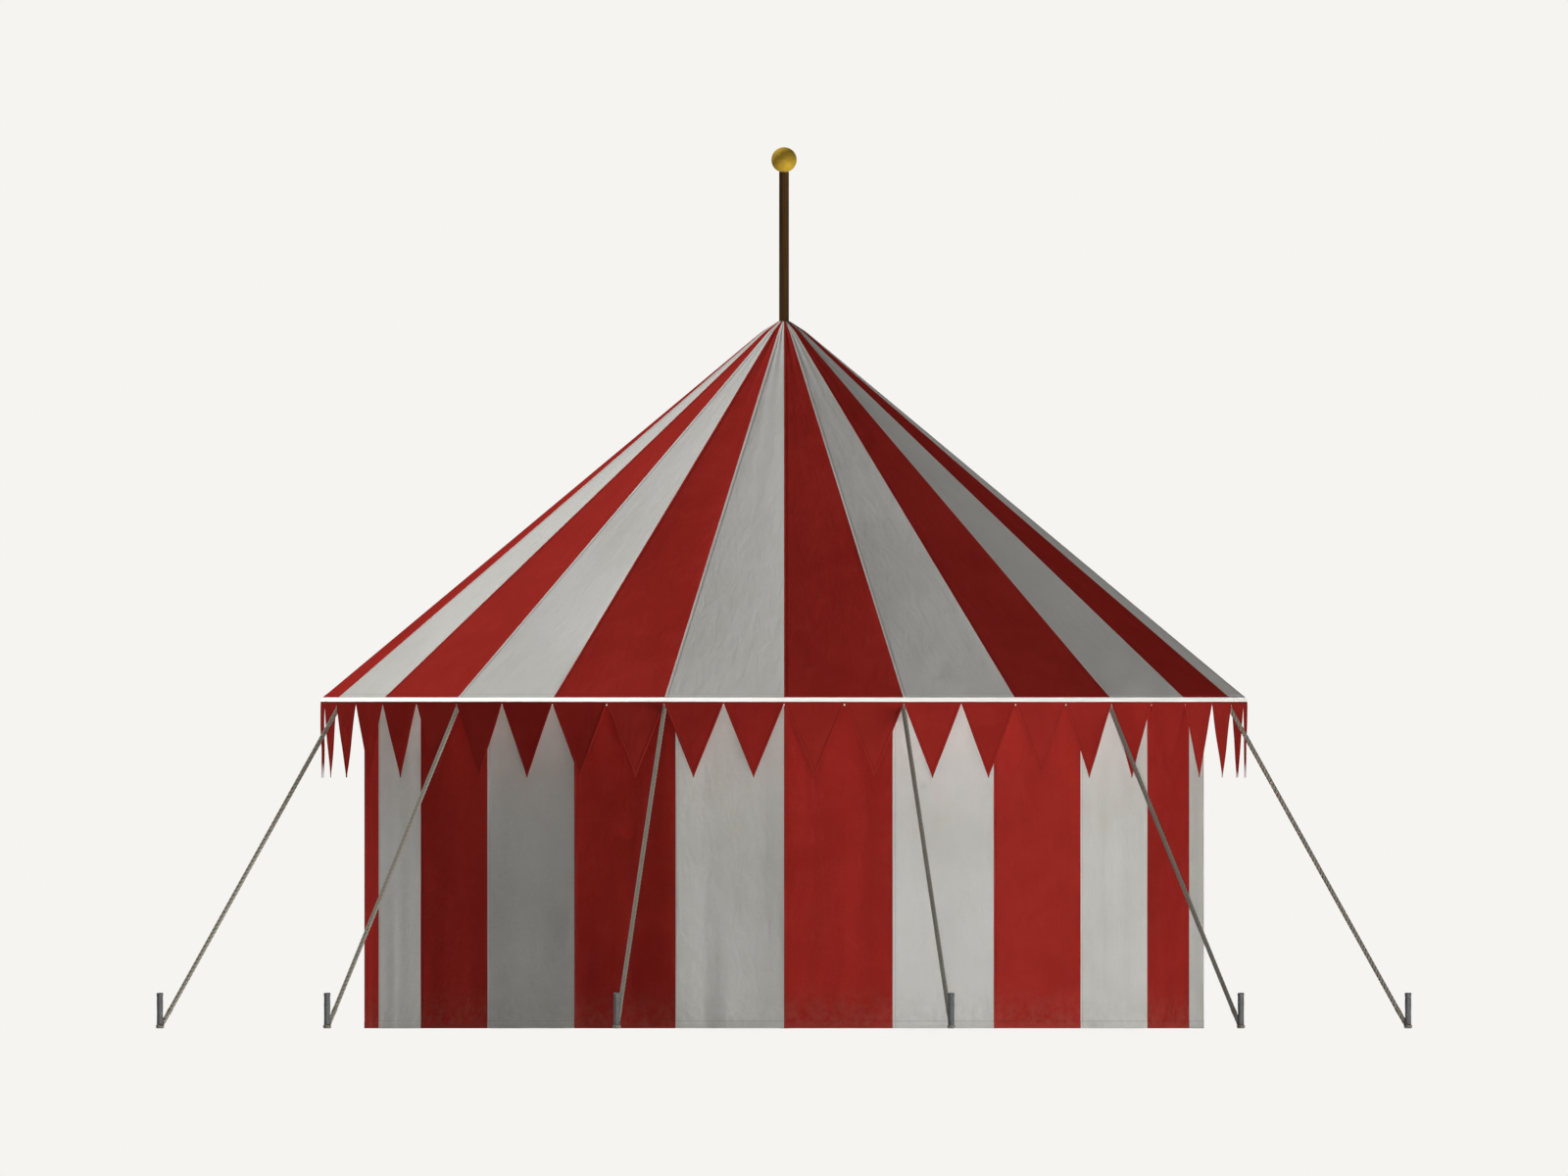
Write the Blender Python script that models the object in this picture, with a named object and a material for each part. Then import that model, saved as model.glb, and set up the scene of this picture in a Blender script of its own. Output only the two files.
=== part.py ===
# Round medieval tent: a striped canvas roof and wall round one centre pole,
# a fringed valance under the eave, and twelve guy ropes pegged to iron stakes.
#
# Metres, +Z up. The origin is on the ground under the centre pole, and -Y is
# the front. Angles round the tent are in degrees from the front towards +X.

import math

import bmesh
import bpy
from mathutils import Matrix, Vector

for old in list(bpy.data.objects):
    bpy.data.objects.remove(old, do_unlink=True)

# --------------------------------------------------------------------------
# Driving dimensions
# --------------------------------------------------------------------------
GAP = 0.0003                # clearance kept between pieces that touch

PANELS = 24                 # canvas panels round the roof and round the wall
SECTIONS = 6                # sewn sections of roof, wall and valance
CANVAS = 0.004              # thickness of the canvas walls and valance

# roof: a cone of flat panels, measured on a seam, a little less steep next to the pole
EAVE_RADIUS = 2.747
EAVE_HEIGHT = 1.973
RUN_PER_RISE = 1.2
KNEE_RADIUS = 0.134         # where its slope changes
PEAK_RADIUS = 0.038         # outside of the roof where it closes on the pole
PEAK_HEIGHT = 4.213
ROOF_DROP = 0.005           # vertical thickness of the roof canvas
PEAK_BINDING = 0.030        # height of the doubled canvas round the pole

# wall
WALL_RADIUS = 2.500

# eave band and valance
BAND_HEIGHT = 0.026
BAND_THICKNESS = 0.005
VALANCE_RADIUS = 2.763
VALANCE_STRIP = 0.010       # unbroken strip above the points
VALANCE_TIP_HEIGHT = 1.495
POINTS = 48                 # points round the valance

# centre pole and ball
POLE_RADIUS = 0.0292
POLE_SHOULDER_RADIUS = 0.060
POLE_SHOULDER_HEIGHT = 0.024
POLE_SIDES = 24
BALL_RADIUS = 0.076
BALL_CENTRE_HEIGHT = 5.177
BALL_SEAT = 0.071           # flat seat this far under the ball's centre

# guy ropes and stakes
GUYS = 12
FIRST_GUY_ANGLE = 15.0
ROPE_RADIUS = 0.0135
ROPE_TOP = (2.7370, 1.930)  # radius and height where its axis is behind the valance
ROPE_FOOT = (3.851, 0.0)    # and where it meets the ground inside the stake
ROPE_SIDES = 12
LOOP_CORD_RADIUS = 0.004    # lashing round the stake
LOOP_HEIGHT = 0.016
STAKE_CIRCLE = 3.851
STAKE_RADIUS = 0.019
STAKE_HEIGHT = 0.213
STAKE_SIDES = 16

# derived
APEX_HEIGHT = EAVE_HEIGHT + EAVE_RADIUS / RUN_PER_RISE
KNEE_HEIGHT = APEX_HEIGHT - KNEE_RADIUS / RUN_PER_RISE
PEAK_RUN_PER_RISE = (KNEE_RADIUS - PEAK_RADIUS) / (PEAK_HEIGHT - KNEE_HEIGHT)
PANEL_ANGLE = 360.0 / PANELS
SECTION_ANGLE = 360.0 / SECTIONS
POINT_ANGLE = 360.0 / POINTS
SECTION_NAMES = ("front", "front_right", "back_right",
                 "back", "back_left", "front_left")


# --------------------------------------------------------------------------
# Helpers
# --------------------------------------------------------------------------
def material(name, colour, roughness, metallic=0.0):
    mat = bpy.data.materials.new(name)
    mat.use_nodes = True
    shader = mat.node_tree.nodes["Principled BSDF"]
    shader.inputs["Base Color"].default_value = (*colour, 1.0)
    shader.inputs["Roughness"].default_value = roughness
    shader.inputs["Metallic"].default_value = metallic
    mat.diffuse_color = (*colour, 1.0)
    return mat


def ring_point(radius, angle, height):
    a = math.radians(angle)
    return Vector((radius * math.sin(a), -radius * math.cos(a), height))


def roof_outside(radius):
    return APEX_HEIGHT - radius / RUN_PER_RISE


def roof_inside(radius):
    return roof_outside(radius) - ROOF_DROP


def roof_inside_radius(height):
    return (APEX_HEIGHT - ROOF_DROP - height) * RUN_PER_RISE


def mesh_from(bm, name, smooth_angle=None):
    bmesh.ops.recalc_face_normals(bm, faces=bm.faces)
    mesh = bpy.data.meshes.new(name)
    bm.to_mesh(mesh)
    bm.free()
    if smooth_angle is not None:
        mesh.shade_smooth()
        mesh.set_sharp_from_angle(angle=math.radians(smooth_angle))
    return mesh


def pull_in_ends(rows):
    """Move the first and last rows inwards along the panel, for the seam gap."""
    first = [p + (q - p).normalized() * GAP * 0.6 for p, q in zip(rows[0], rows[1])]
    last = [p + (q - p).normalized() * GAP * 0.6 for p, q in zip(rows[-1], rows[-2])]
    return [first] + rows[1:-1] + [last]


def swept_section(name, profile, step):
    """A closed profile of (radius, height) swept in flat panels over one section."""
    count = int(round(SECTION_ANGLE / step))
    angles = [-SECTION_ANGLE / 2 + step * i for i in range(count + 1)]
    rows = pull_in_ends([[ring_point(r, a, z) for r, z in profile] for a in angles])
    bm = bmesh.new()
    verts = [[bm.verts.new(p) for p in row] for row in rows]
    n = len(profile)
    for i in range(count):
        for j in range(n):
            k = (j + 1) % n
            face = bm.faces.new((verts[i][j], verts[i + 1][j],
                                 verts[i + 1][k], verts[i][k]))
            face.material_index = i % 2
    for row in (verts[0], verts[-1]):
        face = bm.faces.new(row)
        face.material_index = 0 if row is verts[0] else (count - 1) % 2
    return mesh_from(bm, name)


def add(name, mesh, mats, parent, location=(0, 0, 0), turn=0.0):
    ob = bpy.data.objects.new(name, mesh)
    bpy.context.scene.collection.objects.link(ob)
    if not mesh.materials:
        for m in mats:
            mesh.materials.append(m)
    ob.parent = parent
    ob.location = location
    ob.rotation_euler = (0.0, 0.0, math.radians(turn))
    return ob


# --------------------------------------------------------------------------
# Materials
# --------------------------------------------------------------------------
red_canvas = material("red_canvas", (0.497, 0.033, 0.025), 0.85)
white_canvas = material("white_canvas", (0.871, 0.855, 0.807), 0.85)
eave_tape = material("eave_tape", (0.855, 0.838, 0.791), 0.80)
pole_wood = material("pole_wood", (0.072, 0.036, 0.014), 0.65)
gilt = material("gilt", (0.680, 0.430, 0.085), 0.30, 1.0)
rope_fibre = material("rope_fibre", (0.365, 0.347, 0.292), 0.90)
iron = material("iron", (0.160, 0.168, 0.168), 0.55, 1.0)

# --------------------------------------------------------------------------
# The tent's parent, on the ground under the centre pole
# --------------------------------------------------------------------------
tent = bpy.data.objects.new("tent", None)
bpy.context.scene.collection.objects.link(tent)

# --------------------------------------------------------------------------
# Roof: six sections of four panels. The canvas is doubled round the pole,
# where it hangs on the pole's shoulder.
# --------------------------------------------------------------------------
binding_radius = (POLE_RADIUS + GAP + 0.0002) / math.cos(math.radians(PANEL_ANGLE / 2))
binding_foot = PEAK_HEIGHT - PEAK_BINDING
roof_profile = [
    (EAVE_RADIUS, EAVE_HEIGHT),
    (KNEE_RADIUS, KNEE_HEIGHT),
    (PEAK_RADIUS, PEAK_HEIGHT),
    (binding_radius, PEAK_HEIGHT),
    (binding_radius, binding_foot),
    (PEAK_RADIUS + (PEAK_BINDING - ROOF_DROP) * PEAK_RUN_PER_RISE, binding_foot),
    (KNEE_RADIUS, KNEE_HEIGHT - ROOF_DROP),
    (roof_inside_radius(EAVE_HEIGHT), EAVE_HEIGHT),
]
roof_mesh = swept_section("roof_section", roof_profile, PANEL_ANGLE)
for i, where in enumerate(SECTION_NAMES):
    add("roof_" + where, roof_mesh, (red_canvas, white_canvas), tent,
        turn=SECTION_ANGLE * i)

# --------------------------------------------------------------------------
# Wall: six curtains of four panels, from the ground to the roof's underside
# --------------------------------------------------------------------------
wall_inside = WALL_RADIUS - CANVAS / math.cos(math.radians(PANEL_ANGLE / 2))
wall_profile = [
    (WALL_RADIUS, 0.0),
    (WALL_RADIUS, roof_inside(WALL_RADIUS) - GAP * 1.5),
    (wall_inside, roof_inside(wall_inside) - GAP * 1.5),
    (wall_inside, 0.0),
]
wall_mesh = swept_section("wall_section", wall_profile, PANEL_ANGLE)
for i, where in enumerate(SECTION_NAMES):
    add("wall_" + where, wall_mesh, (red_canvas, white_canvas), tent,
        turn=SECTION_ANGLE * i)

# --------------------------------------------------------------------------
# Eave band: one ring of tape from the roof's edge out to the valance
# --------------------------------------------------------------------------
band_top = EAVE_HEIGHT - GAP
band_foot = EAVE_HEIGHT - BAND_HEIGHT + GAP


def band_mesh():
    bm = bmesh.new()
    rows = []
    for i in range(POINTS):
        angle = i * POINT_ANGLE
        top = EAVE_RADIUS + 0.001
        if i % 2:
            top *= math.cos(math.radians(POINT_ANGLE))
        profile = [(top, band_top), (VALANCE_RADIUS, band_foot),
                   (VALANCE_RADIUS - BAND_THICKNESS, band_foot),
                   (top - BAND_THICKNESS, band_top)]
        rows.append([bm.verts.new(ring_point(r, angle, z)) for r, z in profile])
    for i in range(POINTS):
        a, b = rows[i], rows[(i + 1) % POINTS]
        for j in range(4):
            k = (j + 1) % 4
            bm.faces.new((a[j], b[j], b[k], a[k]))
    bmesh.ops.triangulate(bm, faces=bm.faces)
    return mesh_from(bm, "eave_band")


add("eave_band", band_mesh(), (eave_tape,), tent)

# --------------------------------------------------------------------------
# Valance: six sections of eight points hanging from an unbroken strip
# --------------------------------------------------------------------------
valance_top = EAVE_HEIGHT - BAND_HEIGHT
notch_height = valance_top - VALANCE_STRIP


def valance_mesh():
    count = POINTS // SECTIONS
    half = math.radians(POINT_ANGLE / 2)
    radii = (VALANCE_RADIUS, VALANCE_RADIUS - CANVAS / math.cos(half))
    seams = [-SECTION_ANGLE / 2 + POINT_ANGLE * i for i in range(count + 1)]
    rows = pull_in_ends([[ring_point(r, a, z) for r in radii
                          for z in (valance_top, notch_height)] for a in seams])
    bm = bmesh.new()
    verts = [[bm.verts.new(p) for p in row] for row in rows]
    tips = []
    for i in range(count):
        middle = seams[i] + POINT_ANGLE / 2
        tips.append([bm.verts.new(ring_point(r * math.cos(half), middle,
                                             VALANCE_TIP_HEIGHT)) for r in radii])
    for i in range(count):
        (ot0, on0, it0, in0), (ot1, on1, it1, in1) = verts[i], verts[i + 1]
        outer_tip, inner_tip = tips[i]
        bm.faces.new((ot0, on0, outer_tip, on1, ot1))
        bm.faces.new((it1, in1, inner_tip, in0, it0))
        bm.faces.new((ot0, ot1, it1, it0))
        bm.faces.new((on0, in0, inner_tip, outer_tip))
        bm.faces.new((outer_tip, inner_tip, in1, on1))
    for ot, on, it, inn in (verts[0], verts[-1]):
        bm.faces.new((ot, it, inn, on))
    return mesh_from(bm, "valance_section")


valance = valance_mesh()
for i, where in enumerate(SECTION_NAMES):
    add("valance_" + where, valance, (red_canvas,), tent, turn=SECTION_ANGLE * i)


# --------------------------------------------------------------------------
# Centre pole: a turned shaft from the ground, with a shoulder under the roof
# --------------------------------------------------------------------------
def pole_mesh():
    shoulder_top = binding_foot - GAP
    shoulder_foot = shoulder_top - POLE_SHOULDER_HEIGHT
    profile = [
        (0.0, 0.0),
        (POLE_RADIUS, 0.0),
        (POLE_RADIUS, shoulder_foot - 0.012),
        (POLE_SHOULDER_RADIUS, shoulder_foot),
        (POLE_SHOULDER_RADIUS, shoulder_top),
        (POLE_RADIUS, shoulder_top),
        (POLE_RADIUS, BALL_CENTRE_HEIGHT - BALL_SEAT - GAP),
        (0.0, BALL_CENTRE_HEIGHT - BALL_SEAT - GAP),
    ]
    bm = bmesh.new()
    rings = []
    for r, z in profile:
        if r == 0.0:
            rings.append([bm.verts.new((0.0, 0.0, z))])
        else:
            rings.append([bm.verts.new(ring_point(r, 360.0 * s / POLE_SIDES, z))
                          for s in range(POLE_SIDES)])
    for low, high in zip(rings[:-1], rings[1:]):
        for s in range(POLE_SIDES):
            t = (s + 1) % POLE_SIDES
            if len(low) == 1:
                bm.faces.new((low[0], high[s], high[t]))
            elif len(high) == 1:
                bm.faces.new((low[s], low[t], high[0]))
            else:
                bm.faces.new((low[s], low[t], high[t], high[s]))
    return mesh_from(bm, "centre_pole", smooth_angle=35)


add("centre_pole", pole_mesh(), (pole_wood,), tent)


# --------------------------------------------------------------------------
# Ball finial: a ball with a flat seat on the pole's top
# --------------------------------------------------------------------------
def ball_mesh():
    bm = bmesh.new()
    bmesh.ops.create_uvsphere(bm, u_segments=32, v_segments=18, radius=BALL_RADIUS)
    bmesh.ops.bisect_plane(bm, geom=bm.verts[:] + bm.edges[:] + bm.faces[:],
                           plane_co=(0, 0, -BALL_SEAT), plane_no=(0, 0, -1),
                           clear_outer=True)
    rim = [e for e in bm.edges if e.is_boundary]
    bmesh.ops.holes_fill(bm, edges=rim, sides=0)
    return mesh_from(bm, "finial_ball", smooth_angle=35)


add("finial_ball", ball_mesh(), (gilt,), tent, location=(0, 0, BALL_CENTRE_HEIGHT))


# --------------------------------------------------------------------------
# Guy ropes: each runs from a seam under the roof's edge, out between two points
# of the valance and straight down to its stake, and a lashing loop on its end
# goes round the stake's foot
# --------------------------------------------------------------------------
def cut_off(bm, point, outward):
    bmesh.ops.bisect_plane(bm, geom=bm.verts[:] + bm.edges[:] + bm.faces[:],
                           plane_co=point, plane_no=outward, clear_outer=True)
    rim = [e for e in bm.edges if e.is_boundary]
    bmesh.ops.holes_fill(bm, edges=rim, sides=0)


def rope_mesh():
    top = ring_point(ROPE_TOP[0], 0.0, ROPE_TOP[1])
    foot = ring_point(ROPE_FOOT[0], 0.0, ROPE_FOOT[1])
    run = foot - top
    length = run.length + 0.4
    turn = run.to_track_quat("Z", "X").to_matrix().to_4x4()
    bm = bmesh.new()
    bmesh.ops.create_cone(bm, cap_ends=True, segments=ROPE_SIDES,
                          radius1=ROPE_RADIUS, radius2=ROPE_RADIUS, depth=length,
                          matrix=Matrix.Translation((top + foot) / 2) @ turn)
    under_roof = APEX_HEIGHT - ROOF_DROP - GAP * 1.5
    slope = math.atan(1 / (RUN_PER_RISE * math.cos(math.radians(PANEL_ANGLE / 2))))
    for side in (-PANEL_ANGLE / 2, PANEL_ANGLE / 2):
        facing = ring_point(math.sin(slope), side, math.cos(slope))
        cut_off(bm, (0, 0, under_roof), facing)
    cut_off(bm, (0, -(STAKE_CIRCLE - STAKE_RADIUS - GAP), 0), (0, -1, 0))
    cut_off(bm, (0, 0, 0.001), (0, 0, -1))
    tube = bpy.data.objects.new("rope_tube", mesh_from(bm, "rope_tube"))
    bpy.context.scene.collection.objects.link(tube)

    bm = bmesh.new()
    across, round_cord = 20, 8
    middle = STAKE_RADIUS + 2.5 * GAP + LOOP_CORD_RADIUS
    rows = []
    for i in range(across):
        a = math.tau * i / across
        row = []
        for j in range(round_cord):
            b = math.tau * (j + 0.5) / round_cord
            r = middle + LOOP_CORD_RADIUS * math.cos(b)
            row.append(bm.verts.new((r * math.cos(a), r * math.sin(a) - STAKE_CIRCLE,
                                     LOOP_HEIGHT + LOOP_CORD_RADIUS * math.sin(b))))
        rows.append(row)
    for i in range(across):
        a, b = rows[i], rows[(i + 1) % across]
        for j in range(round_cord):
            k = (j + 1) % round_cord
            bm.faces.new((a[j], b[j], b[k], a[k]))
    loop = bpy.data.objects.new("rope_loop", mesh_from(bm, "rope_loop"))
    bpy.context.scene.collection.objects.link(loop)

    join = tube.modifiers.new("loop", "BOOLEAN")
    join.operation = "UNION"
    join.solver = "EXACT"
    join.object = loop
    seen = tube.evaluated_get(bpy.context.evaluated_depsgraph_get())
    mesh = bpy.data.meshes.new_from_object(seen)
    mesh.name = "guy_rope"
    mesh.materials.clear()
    mesh.shade_smooth()
    mesh.set_sharp_from_angle(angle=math.radians(50))
    bpy.data.objects.remove(tube, do_unlink=True)
    bpy.data.objects.remove(loop, do_unlink=True)
    return mesh


rope = rope_mesh()


# --------------------------------------------------------------------------
# Stakes: round iron bars standing upright, down to the ground
# --------------------------------------------------------------------------
def stake_mesh():
    bm = bmesh.new()
    bmesh.ops.create_cone(bm, cap_ends=True, segments=STAKE_SIDES,
                          radius1=STAKE_RADIUS, radius2=STAKE_RADIUS,
                          depth=STAKE_HEIGHT,
                          matrix=Matrix.Translation((0, 0, STAKE_HEIGHT / 2)))
    top = [e for e in bm.edges
           if all(v.co.z > STAKE_HEIGHT - 1e-5 for v in e.verts)]
    bmesh.ops.bevel(bm, geom=top, offset=0.0015, segments=1, affect="EDGES")
    return mesh_from(bm, "stake", smooth_angle=50)


stake = stake_mesh()
for i in range(GUYS):
    angle = FIRST_GUY_ANGLE + i * 360.0 / GUYS
    add("guy_rope_%02d" % (i + 1), rope, (rope_fibre,), tent, turn=angle)
    add("stake_%02d" % (i + 1), stake, (iron,), tent,
        location=ring_point(STAKE_CIRCLE, angle, 0.0), turn=angle)
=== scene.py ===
import math

import bmesh
import bpy
import numpy as np
from mathutils import Matrix, Vector


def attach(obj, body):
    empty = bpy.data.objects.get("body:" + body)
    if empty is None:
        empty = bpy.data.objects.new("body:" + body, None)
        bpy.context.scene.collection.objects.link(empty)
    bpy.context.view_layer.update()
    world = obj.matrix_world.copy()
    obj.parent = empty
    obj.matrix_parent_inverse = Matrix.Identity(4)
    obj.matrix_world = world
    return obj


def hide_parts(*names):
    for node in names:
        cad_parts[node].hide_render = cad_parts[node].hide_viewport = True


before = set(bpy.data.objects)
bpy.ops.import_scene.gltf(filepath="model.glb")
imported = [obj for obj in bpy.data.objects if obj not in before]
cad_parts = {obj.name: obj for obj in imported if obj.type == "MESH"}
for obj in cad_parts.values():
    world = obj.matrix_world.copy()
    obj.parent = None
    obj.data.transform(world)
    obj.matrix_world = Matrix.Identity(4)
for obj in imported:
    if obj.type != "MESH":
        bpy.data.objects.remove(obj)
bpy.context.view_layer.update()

# ---------------------------------------------------------------------------
# Sizes of the tent, in metres. Angles go from the front (-Y) towards +X.
# ---------------------------------------------------------------------------
PANELS = 24
STEP = 360.0 / PANELS
EAVE_R, EAVE_Z = 2.747, 1.973
APEX_Z = EAVE_Z + EAVE_R / 1.2
PEAK_R, PEAK_Z = 0.038, 4.213
KNEE_R = 0.134
# the peak's hem, rolled over and down beside the pole: radii, and heights over the peak
ROLL_R = (0.0302, 0.0303, 0.0309, 0.0324, 0.0345, 0.0364, 0.0380)
ROLL_Z = (-0.0075, -0.0038, -0.0008, 0.0011, 0.0017, 0.0011, 0.0)
WALL_R = 2.500
VAL_R = 2.763
VAL_TOP, VAL_NOTCH, VAL_TIP = 1.947, 1.937, 1.495
POINTS = 48
POLE_R = 0.0292
BALL_R, BALL_Z, BALL_SEAT = 0.076, 5.177, 0.071
GUYS = 12
GUY_ANGLES = [15.0 + 30.0 * i for i in range(GUYS)]
ROPE_R = 0.0135
ROPE_TOP = Vector((0.0, -2.739, 1.930))
ROPE_FOOT = Vector((0.0, -3.851, 0.0))
STAKE_CIRCLE, STAKE_R, STAKE_H = 3.851, 0.019, 0.213


def ring(radius, angle, z):
    a = math.radians(angle)
    return np.array((radius * math.sin(a), -radius * math.cos(a), z))


def roof_z(radius):
    """Height of the roof's outside on a seam: a cone, a little less steep by the pole."""
    r = np.asarray(radius, float)
    knee = APEX_Z - KNEE_R / 1.2
    z = np.where(r >= KNEE_R, APEX_Z - r / 1.2,
                 knee + (KNEE_R - r) * (PEAK_Z - knee) / (KNEE_R - PEAK_R))
    return np.where(r < PEAK_R, PEAK_Z + np.interp(r, ROLL_R, ROLL_Z), z)


def smooth(a, b, x):
    t = np.clip((x - a) / (b - a), 0.0, 1.0)
    return t * t * (3 - 2 * t)


_tables = {}


def noise2(x, y, seed):
    """Smooth value noise from -1 to 1, the same on every run."""
    if seed not in _tables:
        _tables[seed] = np.random.RandomState(seed).rand(128, 128) * 2 - 1
    tab = _tables[seed]
    x, y = np.broadcast_arrays(np.asarray(x, float), np.asarray(y, float))
    xi, yi = np.floor(x).astype(int), np.floor(y).astype(int)
    xf, yf = x - xi, y - yi
    u, v = xf * xf * (3 - 2 * xf), yf * yf * (3 - 2 * yf)
    g = lambda i, j: tab[(xi + i) % 128, (yi + j) % 128]
    return ((g(0, 0) * (1 - u) + g(1, 0) * u) * (1 - v)
            + (g(0, 1) * (1 - u) + g(1, 1) * u) * v)


# ---------------------------------------------------------------------------
# Node material helpers
# ---------------------------------------------------------------------------
class Nodes:
    """A short way to write a node tree."""

    def __init__(self, name):
        self.mat = bpy.data.materials.new(name)
        self.mat.use_nodes = True
        self.tree = self.mat.node_tree
        self.tree.nodes.clear()
        self.out = self.tree.nodes.new("ShaderNodeOutputMaterial")
        self.bsdf = self.tree.nodes.new("ShaderNodeBsdfPrincipled")
        self.link(self.bsdf.outputs[0], self.out.inputs[0])

    def node(self, kind, **props):
        n = self.tree.nodes.new("ShaderNode" + kind)
        for k, v in props.items():
            setattr(n, k, v)
        return n

    def link(self, a, b):
        self.tree.links.new(a, b)

    def put(self, value, socket):
        if isinstance(value, bpy.types.NodeSocket):
            self.link(value, socket)
        elif value is not None:
            socket.default_value = value

    def math(self, op, a, b=None, c=None, clamp=False):
        n = self.node("Math", operation=op, use_clamp=clamp)
        for v, s in zip((a, b, c), n.inputs):
            self.put(v, s)
        return n.outputs[0]

    def range(self, x, a, b, c=0.0, d=1.0, kind="SMOOTHSTEP"):
        n = self.node("MapRange", interpolation_type=kind, clamp=True)
        for v, s in zip((x, a, b, c, d), n.inputs):
            self.put(v, s)
        return n.outputs[0]

    def mix(self, fac, a, b, blend="MIX"):
        n = self.node("Mix", data_type="RGBA", blend_type=blend)
        self.put(fac, n.inputs[0])
        self.put(a, n.inputs[6])
        self.put(b, n.inputs[7])
        return n.outputs[2]

    def uv(self, name):
        return self.node("UVMap", uv_map=name).outputs[0]

    def attribute(self, name):
        return self.node("Attribute", attribute_name=name).outputs["Fac"]

    def obj(self):
        return self.node("TexCoord").outputs["Object"]

    def xyz(self, vector):
        n = self.node("SeparateXYZ")
        self.put(vector, n.inputs[0])
        return n.outputs

    def vec(self, x, y, z=0.0):
        n = self.node("CombineXYZ")
        for v, s in zip((x, y, z), n.inputs):
            self.put(v, s)
        return n.outputs[0]

    def scaled(self, vector, scale):
        n = self.node("Mapping")
        self.put(vector, n.inputs[0])
        n.inputs["Scale"].default_value = scale
        return n.outputs[0]

    def noise(self, vector, scale, detail=2.0, rough=0.5, distort=0.0):
        n = self.node("TexNoise")
        self.put(vector, n.inputs["Vector"])
        n.inputs["Scale"].default_value = scale
        n.inputs["Detail"].default_value = detail
        n.inputs["Roughness"].default_value = rough
        n.inputs["Distortion"].default_value = distort
        return n.outputs["Fac"]

    def bump(self, height, distance, normal=None, strength=1.0):
        n = self.node("Bump")
        n.inputs["Strength"].default_value = strength
        n.inputs["Distance"].default_value = distance
        self.put(height, n.inputs["Height"])
        if normal is not None:
            self.link(normal, n.inputs["Normal"])
        return n.outputs[0]


def rgb(r, g, b):
    return (r, g, b, 1.0)


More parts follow.
